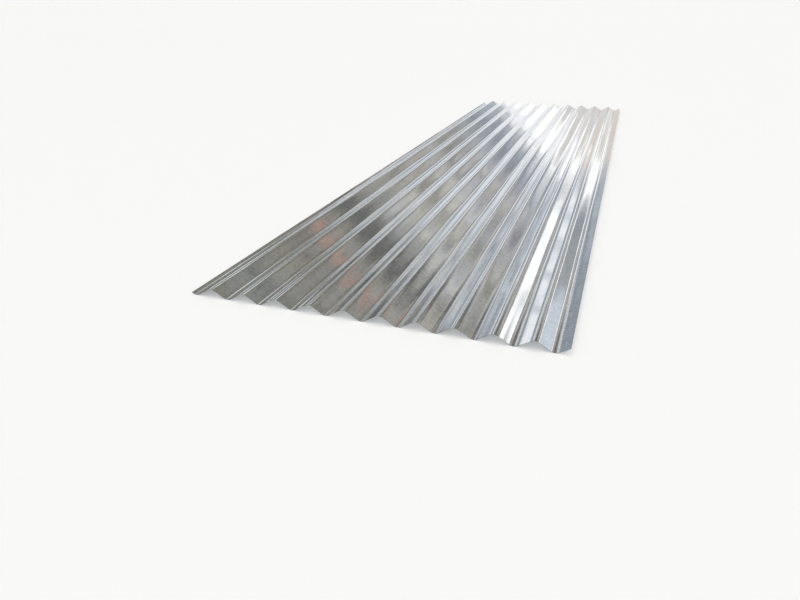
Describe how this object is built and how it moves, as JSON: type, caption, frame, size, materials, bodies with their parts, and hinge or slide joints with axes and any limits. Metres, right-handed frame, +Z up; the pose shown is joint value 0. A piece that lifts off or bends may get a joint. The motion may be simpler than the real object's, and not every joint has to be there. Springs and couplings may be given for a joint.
{
  "type": "corrugated metal sheet",
  "caption": "Galvanised steel roofing and cladding sheet, roll formed with round-bent waves that run its whole length, lying flat.",
  "frame": {"origin": "middle of the sheet's underside, on the plane that its troughs rest on", "axes": "+Y along the waves to the far cut end, +X across the waves to the edge with the longer lip, +Z up"},
  "size_m": [0.8002, 3.05, 0.0185],
  "materials": {
    "galvanised_steel": "bright hot-dip zinc coating with a fine spangle and lengthwise roller marks"
  },
  "bodies": {
    "root": {"corrugated_sheet": "galvanised_steel"}
  },
  "joints": []
}
